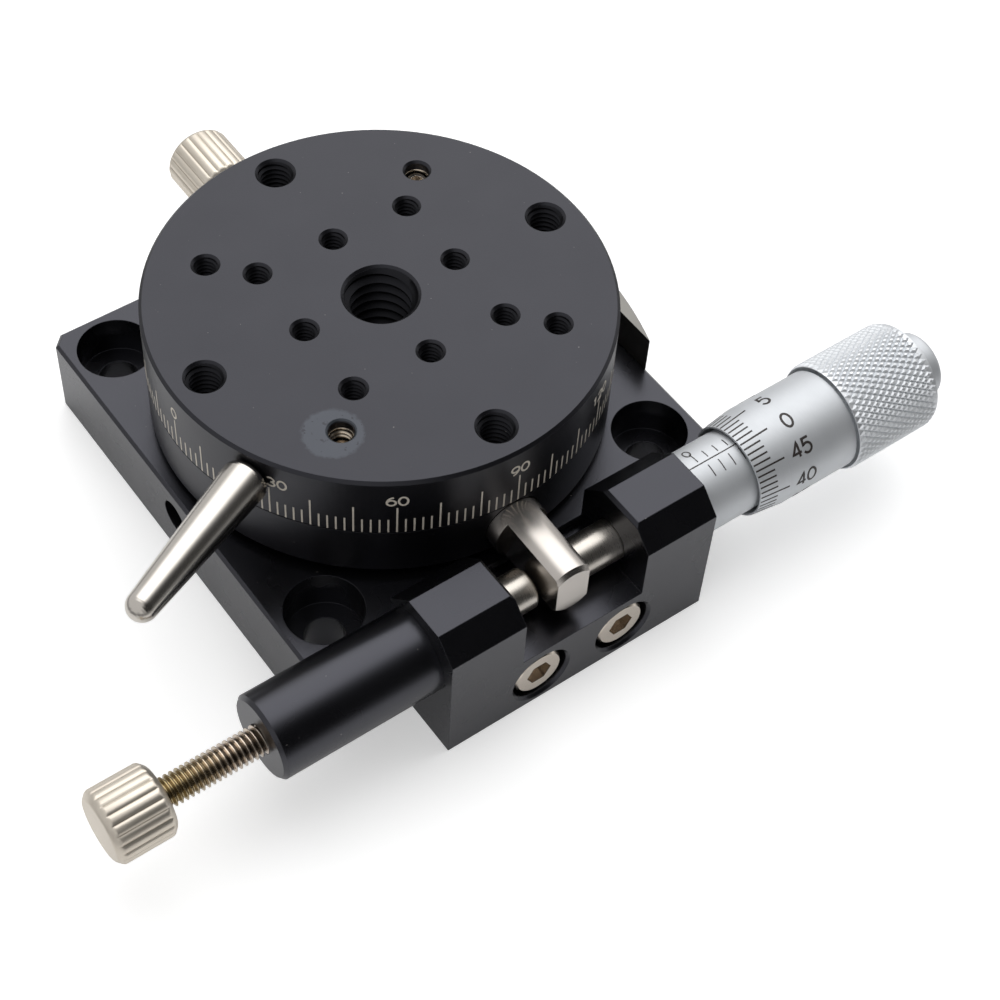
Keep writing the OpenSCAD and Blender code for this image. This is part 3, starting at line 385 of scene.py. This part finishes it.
class Shell:
    """Collects closed skins made of rings of points round an axis."""

    def __init__(self, place):
        self.place, self.points, self.faces = place, [], []

    def ring(self, rows):
        """Adds a ring of points from (x, r, angle) rows and gives their numbers."""
        start = len(self.points)
        self.points += [self.place(*row) for row in rows]
        return list(range(start, len(self.points)))

    def even(self, x, r, count, turn=0.0):
        """A round ring of evenly spaced points, turned by a share of their spacing."""
        return self.ring([(x, r, 360 * (k + turn) / count) for k in range(count)])

    def join(self, one, other):
        """A band of faces between two rings of as many points."""
        count = len(one)
        self.faces += [[one[k], one[(k + 1) % count], other[(k + 1) % count], other[k]] for k in range(count)]

    def skin(self, rings, cap_first=True, cap_last=True):
        """Bands from ring to ring, with the ends closed where asked."""
        for one, other in zip(rings, rings[1:]):
            self.join(one, other)
        if cap_first:
            self.faces.append(rings[0][::-1])
        if cap_last:
            self.faces.append(rings[-1])

    def piece(self, name, material, body, slot, crease=35):
        return make_piece(name, self.points, self.faces, material, body, crease)


# ---- Engraved scales ----


def arc(cx, cy, rx, ry, start, end):
    """Points on an ellipse about (cx, cy), from one angle to another."""
    count = max(6, round(abs(end - start) / 12))
    return [(cx + rx * math.cos(math.radians(start + (end - start) * i / count)),
             cy + ry * math.sin(math.radians(start + (end - start) * i / count))) for i in range(count + 1)]


SIX = [arc(0.33, 0.32, 0.32, 0.32, 0, 360), arc(0.56, 0.34, 0.55, 0.65, 96, 180)]
DIGITS = {                                  # strokes in a box 0.66 wide and 1 high
    "0": [arc(0.33, 0.5, 0.33, 0.5, 0, 360)],
    "1": [[(0.12, 0.8), (0.38, 1), (0.38, 0)]],
    "2": [arc(0.33, 0.69, 0.31, 0.31, 165, -38) + [(0.02, 0), (0.66, 0)]],
    "3": [arc(0.31, 0.745, 0.28, 0.255, 150, -90), arc(0.31, 0.25, 0.33, 0.25, 90, -150)],
    "4": [[(0.5, 0), (0.5, 1), (0, 0.28), (0.68, 0.28)]],
    "5": [[(0.6, 1), (0.12, 1), (0.06, 0.54)] + arc(0.32, 0.33, 0.33, 0.33, 125, -150)],
    "6": SIX,
    "7": [[(0, 1), (0.64, 1), (0.22, 0)]],
    "8": [arc(0.33, 0.745, 0.26, 0.255, 0, 360), arc(0.33, 0.25, 0.32, 0.25, 0, 360)],
    "9": [[(0.66 - x, 1 - y) for x, y in stroke] for stroke in SIX],
}
DIGIT_W, DIGIT_STEP = 0.66, 0.86            # width and spacing, as shares of the height


def write_number(text, height, width=1.0):
    """The strokes of a number centred on (0, 0); width stretches it sideways."""
    total = (len(text) - 1) * DIGIT_STEP + DIGIT_W
    return [[((x + i * DIGIT_STEP - total / 2) * height * width, (y - 0.5) * height) for x, y in stroke]
            for i, digit in enumerate(text) for stroke in DIGITS[digit]]


class Marks:
    """Thin engraved strokes laid on a surface: slabs a few hundredths thick, sunk into what carries them."""
    PROUD, SUNK = 0.01, 0.03
    STEP = 0.2                              # longest straight step, so that a stroke follows a round surface

    def __init__(self):
        self.points, self.faces = [], []

    def stroke(self, line, width, place):
        """line is in the surface's own (u, v); place(u, v, h) puts a point h above the surface."""
        fine = [line[0]]
        for a, b in zip(line, line[1:]):
            parts = max(1, math.ceil(math.dist(a, b) / self.STEP))
            fine += [(a[0] + (b[0] - a[0]) * k / parts, a[1] + (b[1] - a[1]) * k / parts)
                     for k in range(1, parts + 1)]
        closed = math.dist(fine[0], fine[-1]) < 1e-6
        if closed:
            fine.pop()
        count, start = len(fine), len(self.points)
        # four corners at each point, set wider where the stroke bends, so that its width stays the same
        for i, (u, v) in enumerate(fine):
            before = fine[i - 1] if closed or i else fine[0]
            after = fine[(i + 1) % count] if closed or i < count - 1 else fine[-1]
            d = Vector((after[0] - before[0], after[1] - before[1])).normalized()
            back = Vector((u - before[0], v - before[1]))
            corner = max(0.6, d.dot(back.normalized())) if back.length > 1e-9 else 1
            nu, nv = -d.y * width / 2 / corner, d.x * width / 2 / corner
            for side, h in ((1, self.PROUD), (-1, self.PROUD), (-1, -self.SUNK), (1, -self.SUNK)):
                self.points.append(place(u + side * nu, v + side * nv, h))
        for i in range(count if closed else count - 1):
            a, b = start + 4 * i, start + 4 * ((i + 1) % count)
            self.faces += [[a + k, a + (k + 1) % 4, b + (k + 1) % 4, b + k] for k in range(4)]
        if not closed:
            self.faces += [[start + k for k in range(4)], [start + 4 * (count - 1) + k for k in (3, 2, 1, 0)]]

    def piece(self, name, material, body, slot):
        return make_piece(name, self.points, self.faces, material, body)


def mark_dial():
    """The scale round the table: a line every 2 degrees, a long one every 10 and a number every 30."""
    marks = Marks()

    def at_reading(reading):
        middle = math.radians(DIAL_ZERO + reading)

        def place(u, v, h):
            a = middle + u / TABLE_R
            return ((TABLE_R + h) * math.cos(a), (TABLE_R + h) * math.sin(a), v)
        return place

    for reading in range(0, 360, 2):
        place = at_reading(reading)
        top = DIAL_LONG_TOP if reading % 10 == 0 else DIAL_SHORT_TOP
        marks.stroke([(0, TABLE_FOOT + 0.03), (0, top)], DIAL_LINE, place)
        if reading % 30 == 0:
            late = 0.65 if reading == 30 else 0     # the 30 is engraved a little past its line
            for line in write_number(str(reading), DIAL_FIGURE, DIAL_FIGURE_WIDER):
                marks.stroke([(u + late, v + DIAL_NUMBERS) for u, v in line], DIAL_FIGURE_LINE, place)
    marks.piece("dial_scale", scale_white, "table", "black_anodised")


def mark_thimble():
    """Fifty divisions round the thimble's bevel, with a number at every fifth."""
    marks = Marks()
    for division in range(THIMBLE_DIVISIONS):
        middle = READING_LINE - (division - THIMBLE_READING) * 360 / THIMBLE_DIVISIONS

        def place(u, v, h):
            share = min(1, max(0, (u - THIMBLE_FRONT) / (THIMBLE_BEVEL_END - THIMBLE_FRONT)))
            r = THIMBLE_EDGE_R + (THIMBLE_R - THIMBLE_EDGE_R) * share + h
            return on_drive(u, r, middle - math.degrees(v / THIMBLE_R))
        length = THIMBLE_LONG if division % 5 == 0 else THIMBLE_SHORT
        marks.stroke([(THIMBLE_FRONT + 0.06, 0), (THIMBLE_FRONT + length, 0)], THIMBLE_LINE, place)
        if division % 5 == 0:
            along = 22.5 if division > 5 else 22.6      # single figures stand a little nearer the grip
            across = -0.2 if division == 0 else 0       # and the 0 a little beside its line
            for line in write_number(str(division), THIMBLE_FIGURE):
                marks.stroke([(u + along, v + across) for u, v in line], THIMBLE_FIGURE_LINE, place)
    marks.piece("thimble_scale", scale_dark, "micrometer_thimble", "satin_chrome")


def mark_sleeve():
    """The sleeve's long line, with millimetres behind it and half millimetres in front."""
    marks = Marks()

    def place(u, v, h):
        return on_drive(u, SLEEVE_R + h, READING_LINE - math.degrees(v / SLEEVE_R))
    end = BLOCK_END + SLEEVE_SEEN
    marks.stroke([(BLOCK_END + 0.02, 0), (end, 0)], 0.1, place)
    for k in range(8):
        x = SLEEVE_ZERO + SLEEVE_DIVISION * k
        if x < end:
            marks.stroke([(x, 0.25), (x, 1.4 if k % 5 == 0 else 1.05)], SLEEVE_LINE, place)
        if k == 0:
            for line in write_number("0", SLEEVE_FIGURE):
                marks.stroke([(x - 0.1 + u, 1.6 + v) for u, v in line], SLEEVE_FIGURE_LINE, place)
        half = x + SLEEVE_DIVISION / 2
        if half < end:
            marks.stroke([(half, -0.38), (half, -1.5)], SLEEVE_LINE, place)
    marks.piece("sleeve_scale", scale_dark, "base", "satin_chrome")


def mark_index():
    """The line on the index plate that the table's scale is read against."""
    marks = Marks()
    marks.stroke([(INDEX_FROM, 0), (INDEX_TO, 0)], DIAL_LINE, lambda u, v, h: (u, v, INDEX_TOP + h))
    marks.piece("index_line", scale_dark, "base", "plate_steel")


mark_dial()
mark_thimble()
mark_sleeve()
mark_index()

# ---- Threads ----


def thread_rings(shell, x0, x1, pitch, base, crest, steps=40):
    """The skin of a right-hand thread between x0 and x1 that fades out to its base radius at both ends.
    Gives the rings of points at the two ends."""
    # one flank, the flat crest and the other flank, as shares of a pitch
    profile = ((0.08, base), (0.42, crest), (0.58, crest), (0.92, base))
    rows = [(turn + share, r) for turn in range(math.floor(x0 / pitch) - 2, math.ceil(x1 / pitch) + 2)
            for share, r in profile]
    columns = []
    for step in range(steps):
        column = []
        for turns, r in rows:
            x = min(x1, max(x0, (turns + step / steps) * pitch))
            fade = min(1, (x - x0) / (0.6 * pitch), (x1 - x) / (0.6 * pitch))
            column.append((x, base + (r - base) * fade, 360 * step / steps))
        columns.append(shell.ring(column))
    last = len(rows) - 1
    for step in range(steps):
        one, other = columns[step], columns[(step + 1) % steps]
        shift = len(profile) if step == steps - 1 else 0
        shell.faces += [[one[i], one[i + 1], other[min(last, i + 1 + shift)], other[min(last, i + shift)]]
                        for i in range(last)]
    return [column[0] for column in columns], [column[-1] for column in columns]


LINING = 0.02                               # a tapped skin stands this far in front of its bore and behind it


def tapped_hole(name, place, foot, top, thread, material=anodised_thread, slot="black_anodised"):
    """The thread in one of the table's holes: a skin that just lines the plain bore."""
    pitch, radius, crest = thread
    shell = Shell(place)
    first, last = thread_rings(shell, foot, top, pitch, radius - LINING, crest)
    steps = len(first)
    foot_ring = shell.even(foot, radius + LINING, steps)
    top_ring = shell.even(top, radius + LINING, steps)
    shell.join(first, foot_ring)
    shell.join(last, top_ring)
    shell.join(foot_ring, top_ring)
    shell.piece(name, material, "table", slot, 50)


def tap_table():
    """M6 in the centre, M3 on the outer circle, M2 in the small holes.

    The two holes over the set screws were tapped after anodising, so their threads are bare and bright.
    """
    tapped_hole("thread_centre", upright(0, 0), CENTRE_FOOT, THREAD_TOP, M6)
    for k, a in enumerate((0, 90, 180, 270)):
        tapped_hole(f"thread_large_{k}", upright(OUTER_R, a), DEEP_FOOT, THREAD_TOP, M3)
        tapped_hole(f"thread_inner_{k}", upright(INNER_R, a), SMALL_FOOT, THREAD_TOP, M2)
        tapped_hole(f"thread_middle_{k}", upright(MIDDLE_R, a + 45), SMALL_FOOT, THREAD_TOP, M2)
    for k, a in enumerate((135, 315)):
        tapped_hole(f"thread_outer_{k}", upright(SET_SCREW_R, a), DEEP_FOOT, THREAD_TOP, M2)
    for k, (a, top) in enumerate(SET_SCREWS):
        tapped_hole(f"thread_bare_{k}", upright(SET_SCREW_R, a), top + 0.01, BARE_TOP, M2,
                    bare_thread, "screw_steel")


def set_screws():
    """The two set screws over the preload nut. One is driven deeper than the other."""
    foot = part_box("table_set_screws")[0][2] / MM
    points, faces = [], []
    for a, top in SET_SCREWS:
        shell = Shell(upright(SET_SCREW_R, a))
        rings = [shell.even(x, r, 48) for x, r in (
            (foot, SET_SCREW_BODY_R), (top - 0.12, SET_SCREW_BODY_R), (top, SET_SCREW_BODY_R - 0.12))]
        shell.skin(rings, cap_last=False)
        mouth, floor = shell.even(top, SOCKET_R, 6), shell.even(top - SOCKET_DEEP, SOCKET_R, 6)
        for k in range(6):
            rim = [rings[-1][(8 * k + n) % 48] for n in range(9)]
            shell.faces.append(rim + [mouth[(k + 1) % 6], mouth[k]])
        shell.skin([mouth, floor], cap_first=False)
        start = len(points)
        points += shell.points
        faces += [[start + n for n in face] for face in shell.faces]
    piece = make_piece("table_set_screws_socketed", points, faces, screw_steel, "table", 35)
    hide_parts("table_set_screws")


# ---- Knurled screws ----


# one ridge and its groove: shares of a ridge's width, and depths below the knob's radius
RIDGE = ((0, 0), (0.14, 0.006), (0.27, 0.03), (0.37, 0.07), (0.45, 0.105), (0.5, 0.12), (0.55, 0.105),
         (0.63, 0.07), (0.73, 0.03), (0.86, 0.006))
# a rolled edge: distances from the head's face, and depths below the knob's radius
ROLLED_EDGE = ((0, 0.8), (0, 0.56), (0.05, 0.46), (0.18, 0.31), (0.36, 0.13), (0.46, 0.05), (0.62, 0))


def knurled_screw(name, place, tip, head, end, body):
    """A thumb screw: M2.5 thread, its tip bored for a pad, and a straight knurled head with rolled edges."""
    outward = 1 if head > tip else -1       # which way the head lies from the tip
    buried = 0.3 * outward                  # the thread runs on a little into the head
    low = min(tip, head) + min(0, buried)
    high = max(tip, head) + max(0, buried)
    shell = Shell(place)
    first, last = thread_rings(shell, low, high, PITCH, ROOT_R, CREST_R, 48)
    at_tip, at_head = (first, last) if tip < head else (last, first)
    steps = len(at_tip)
    shell.skin([at_tip, shell.even(tip, PAD_BORE_R, steps),
                shell.even(tip + PAD_BORE_DEEP * outward, PAD_BORE_R, steps)], False)
    shell.faces.append(at_head)
    thread = shell.piece(name + "_thread", thread_steel, body, "turned_steel")
    shell = Shell(place)
    a, b = min(head, end), max(head, end)
    sections = [(a + x, KNOB_R - cut) for x, cut in ROLLED_EDGE]
    sections += [(b - x, KNOB_R - cut) for x, cut in ROLLED_EDGE[::-1]]
    shell.skin([shell.ring([(x, min(limit, KNOB_R - deep), 360 * (k + share) / KNOB_RIDGES)
                            for k in range(KNOB_RIDGES) for share, deep in RIDGE]) for x, limit in sections])
    for piece in (thread, shell.piece(name + "_head", knob_steel, body, "turned_steel")):
        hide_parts(name)


# ---- Thimble and its diamond knurled grip ----


def thimble():
    """The thimble's body: bevelled edge, straight barrel up to the grip, and the tail in the grip."""
    shell = Shell(on_drive)
    shell.skin([shell.even(x, r, 128) for x, r in (
        (THIMBLE_FRONT, THIMBLE_BORE_R), (THIMBLE_FRONT, THIMBLE_EDGE_R), (THIMBLE_BEVEL_END, THIMBLE_R),
        (THIMBLE_BACK - 0.08, THIMBLE_R), (THIMBLE_BACK, THIMBLE_R - 0.08), (THIMBLE_BACK, THIMBLE_TAIL_R),
        (THIMBLE_END, THIMBLE_TAIL_R), (THIMBLE_END, SPINDLE_BORE_R), (THIMBLE_BORE_END, SPINDLE_BORE_R),
        (THIMBLE_BORE_END, THIMBLE_BORE_R), (THIMBLE_FRONT, THIMBLE_BORE_R))], False, False)
    piece = shell.piece("thimble_barrel", satin_chrome, "micrometer_thimble", "satin_chrome", 5)
    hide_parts("thimble")


def end_cap():
    """The plain cap in the grip's back end, with a rolled edge."""
    shell = Shell(on_drive)
    shell.skin([shell.even(x, r, 96) for x, r in (
        (GRIP_SEAT_BACK + 0.01, CAP_R), (CAP_END - 0.5, CAP_R), (CAP_END - 0.25, CAP_R - 0.06),
        (CAP_END - 0.08, CAP_R - 0.22), (CAP_END, CAP_R - 0.5))])
    piece = shell.piece("thimble_cap_turned", satin_chrome, "micrometer_thimble", "satin_chrome", 40)
    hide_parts("thimble_cap")


def knurled_grip():
    """The grip: small flat topped diamonds between plain rolled edges, bored for the thimble's tail."""
    shell = Shell(on_drive)
    around, step, count = DIAMONDS_ROUND, DIAMOND_HALF, DIAMOND_ROWS
    valley, top = GRIP_R - DIAMOND_DEEP, GRIP_R
    start = GRIP_FRONT + 0.02
    corners = {}

    def corner(i, k):
        key = (i, k % (2 * around))
        if key not in corners:
            corners[key] = len(shell.points)
            shell.points.append(on_drive(start + i * step, valley, 180 * key[1] / around))
        return corners[key]

    for i in range(count + 1):
        for k in range(2 * around):
            if (i + k) % 2:
                continue
            if i in (0, count):
                inner = 1 if i == 0 else count - 1
                shell.faces.append([corner(i, k - 1), corner(inner, k), corner(i, k + 1)])
                continue
            rim = [corner(i - 1, k), corner(i, k + 1), corner(i + 1, k), corner(i, k - 1)]
            flat = [len(shell.points) + n for n in range(4)]
            for du, dv in ((-0.38, 0), (0, 0.38), (0.38, 0), (0, -0.38)):
                shell.points.append(on_drive(start + (i + du) * step, top, 180 * (k + dv) / around))
            shell.faces += [[rim[n], rim[(n + 1) % 4], flat[(n + 1) % 4], flat[n]] for n in range(4)]
            shell.faces.append(flat)
    front = [corner(0, k) for k in range(1, 2 * around, 2)]
    back = [corner(count, k) for k in range(1, 2 * around, 2)]
    # the plain rings are turned by half a diamond, as the corners that they join
    shell.skin([front] + [shell.even(x, r, around, 0.5) for x, r in (
        (GRIP_FRONT, top - 0.2), (GRIP_FRONT + 0.4, THIMBLE_R - 0.1), (GRIP_FRONT + 0.4, GRIP_SEAT_R),
        (GRIP_SEAT_BACK, GRIP_SEAT_R), (GRIP_SEAT_BACK, CAP_R + 0.01), (GRIP_BACK, CAP_R + 0.01),
        (GRIP_BACK, top - 0.6), (GRIP_BACK - 0.06, top - 0.4), (GRIP_BACK - 0.22, top - 0.18))]
        + [back], False, False)
    piece = shell.piece("thimble_grip_knurled", knurled_chrome, "micrometer_thimble", "satin_chrome", 25)
    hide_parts("thimble_grip")


# ---- Spring behind the plunger ----


def plunger_coils():
    """The coil spring in the tube, built at one fixed length."""
    low, high = (Vector(corner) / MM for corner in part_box("plunger_spring"))
    length, radius, steps = high.x - low.x, (high.z - low.z) / 2 - WIRE_R, 24 * SPRING_TURNS
    section = [math.radians(36 * k) for k in range(10)]
    shell = Shell(on_drive)
    rings = []
    for step in range(steps + 1):
        share = step / steps
        x = low.x + WIRE_R + (length - 2 * WIRE_R) * share
        rings.append(shell.ring([(x + WIRE_R * math.sin(b), radius + WIRE_R * math.cos(b),
                                  360 * SPRING_TURNS * share) for b in section]))
    shell.skin(rings)
    piece = shell.piece("plunger_coils", spring_wire, "base", "spring_steel", 60)
    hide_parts("plunger_spring")
    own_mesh(piece)


tap_table()
set_screws()
plunger_coils()
knurled_screw("lock_screw", on_drive, LOCK_TIP, LOCK_HEAD, LOCK_END, "lock")
knurled_screw("clamp_screw", on_clamp, CLAMP_TIP, CLAMP_HEAD, CLAMP_END, "clamp")
thimble()
end_cap()
knurled_grip()

# ---- Floor and light ----


def make_floor():
    """A pale card. It keeps the stage's soft shadow, and is a little brighter to the camera and in metal."""
    mesh = bpy.data.meshes.new("floor")
    half = 1.2
    corners = [(-half, -half, 0), (half, -half, 0), (half, half, 0), (-half, half, 0)]
    mesh.from_pydata(corners, [], [(0, 1, 2, 3)])
    floor = bpy.data.objects.new("floor", mesh)
    scene.collection.objects.link(floor)
    material = bpy.data.materials.new("white card")
    material.use_nodes = True
    tree = material.node_tree
    tree.nodes.clear()
    card = add(tree, "BsdfDiffuse", {"Color": linear("#f4f4f4")})
    glow = add(tree, "Emission", {"Color": (1, 1, 1, 1), "Strength": 0.4})
    none = add(tree, "Emission", {"Strength": 0.0})
    path = add(tree, "LightPath")
    mirrored = add(tree, "Math", {0: path.outputs["Is Glossy Ray"], 1: 0.25}, operation="MULTIPLY")
    seen = add(tree, "Math", {0: path.outputs["Is Camera Ray"], 1: mirrored.outputs[0]}, operation="MAXIMUM")
    extra = add(tree, "MixShader", {"Fac": seen.outputs[0], 1: none.outputs[0], 2: glow.outputs[0]})
    both = add(tree, "AddShader", {0: card.outputs[0], 1: extra.outputs[0]})
    # what the stage mirrors of the floor far from it is dim, as past the edge of a card under a lamp
    away = add(tree, "VectorMath", {0: add(tree, "TexCoord").outputs["Object"]}, operation="LENGTH")
    dim = add(tree, "MapRange", {"Value": away.outputs["Value"], "From Min": 55 * MM, "From Max": 95 * MM,
                                 "To Min": 0.0, "To Max": 0.75})
    far = add(tree, "Math", {0: dim.outputs["Result"], 1: path.outputs["Is Glossy Ray"]},
              operation="MULTIPLY")
    out = add(tree, "MixShader", {"Fac": far.outputs[0], 1: both.outputs[0], 2: none.outputs[0]})
    add(tree, "OutputMaterial", {"Surface": out.outputs[0]})
    mesh.materials.append(material)


def make_world():
    """A pale room with a large soft lamp overhead, and a dark stretch that the faces turned to it mirror."""
    world = bpy.data.worlds.new("studio")
    scene.world = world
    world.use_nodes = True
    tree = world.node_tree
    tree.nodes.clear()
    towards = add(tree, "TexCoord").outputs["Generated"]

    def cap(direction, edge, full, outside, inside):
        """From outside to inside as a direction comes nearer than edge and then full degrees."""
        middle = Vector(direction).normalized()
        near = add(tree, "VectorMath", {0: towards, 1: middle}, operation="DOT_PRODUCT")
        return add(tree, "MapRange", {
            "Value": near.outputs["Value"], "From Min": math.cos(math.radians(edge)),
            "From Max": math.cos(math.radians(full)), "To Min": outside, "To Max": inside},
            interpolation_type="SMOOTHSTEP").outputs["Result"]

    overhead, low_front = (0.368, 0.36, 0.86), (0.368, -0.83, 0.42)
    lamp = cap(overhead, 42, 18, 0.7, 2.2)
    dark = cap(low_front, 50, 24, 1.0, 0.05)
    both = add(tree, "Math", {0: lamp, 1: dark}, operation="MULTIPLY")
    white = add(tree, "Background", {"Color": (1, 1, 1, 1), "Strength": 1.0})
    room = add(tree, "Background", {"Color": (1, 1, 1, 1), "Strength": both.outputs[0]})
    path = add(tree, "LightPath")
    mix = add(tree, "MixShader", {"Fac": path.outputs["Is Camera Ray"], 1: room.outputs[0],
                                  2: white.outputs[0]})
    add(tree, "OutputWorld", {"Surface": mix.outputs[0]})


make_floor()
make_world()

scene.view_settings.view_transform = "Standard"
